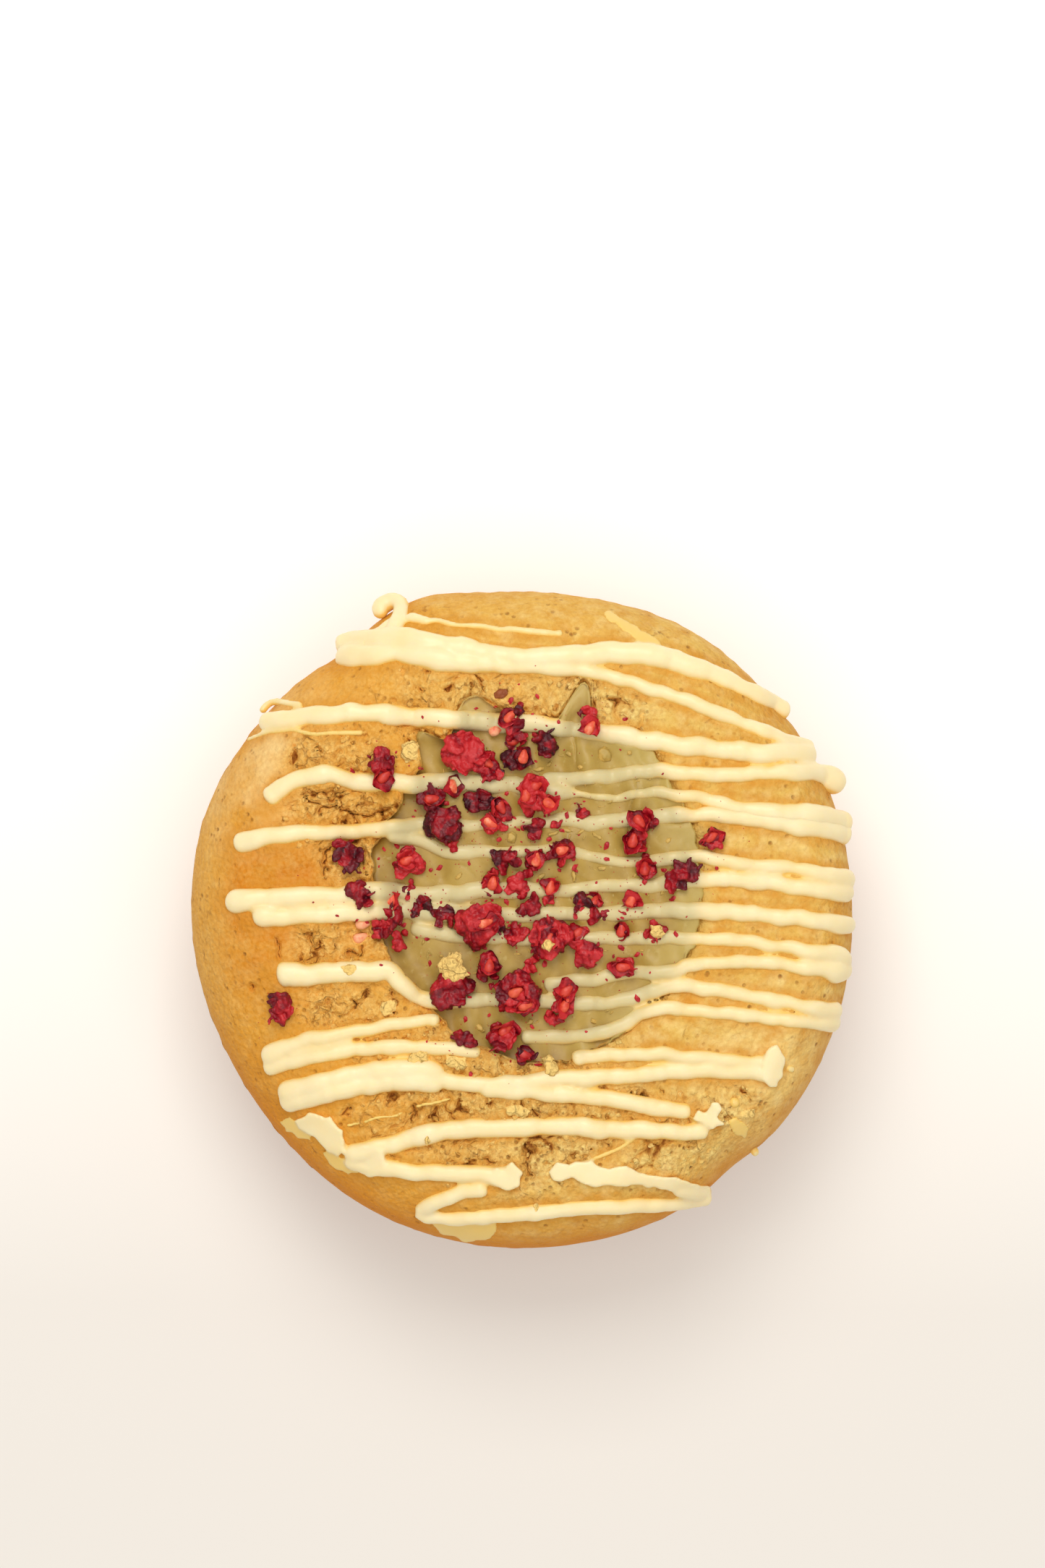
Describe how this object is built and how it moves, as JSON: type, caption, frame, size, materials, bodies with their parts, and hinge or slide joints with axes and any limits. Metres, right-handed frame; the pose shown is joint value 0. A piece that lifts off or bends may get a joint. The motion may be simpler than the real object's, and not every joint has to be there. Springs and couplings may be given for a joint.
{
  "type": "deep dish cookie",
  "caption": "Thick round cookie with a well of pistachio cream in its top, white chocolate drizzle and broken dried raspberries, lying on its flat base.",
  "frame": {"origin": "middle of the flat base", "axes": "+Z up out of the filled top face, +X to the right and +Y up as the picture shows that face"},
  "size_m": [0.0856, 0.0841, 0.0346],
  "materials": {
    "crust": "golden baked crust, matt and finely cracked, with white chocolate strings",
    "cream": "glossy green pistachio cream, with white chocolate strings and raspberry pieces"
  },
  "bodies": {
    "root": {"cookie": "crust", "filling": "cream"}
  },
  "joints": []
}
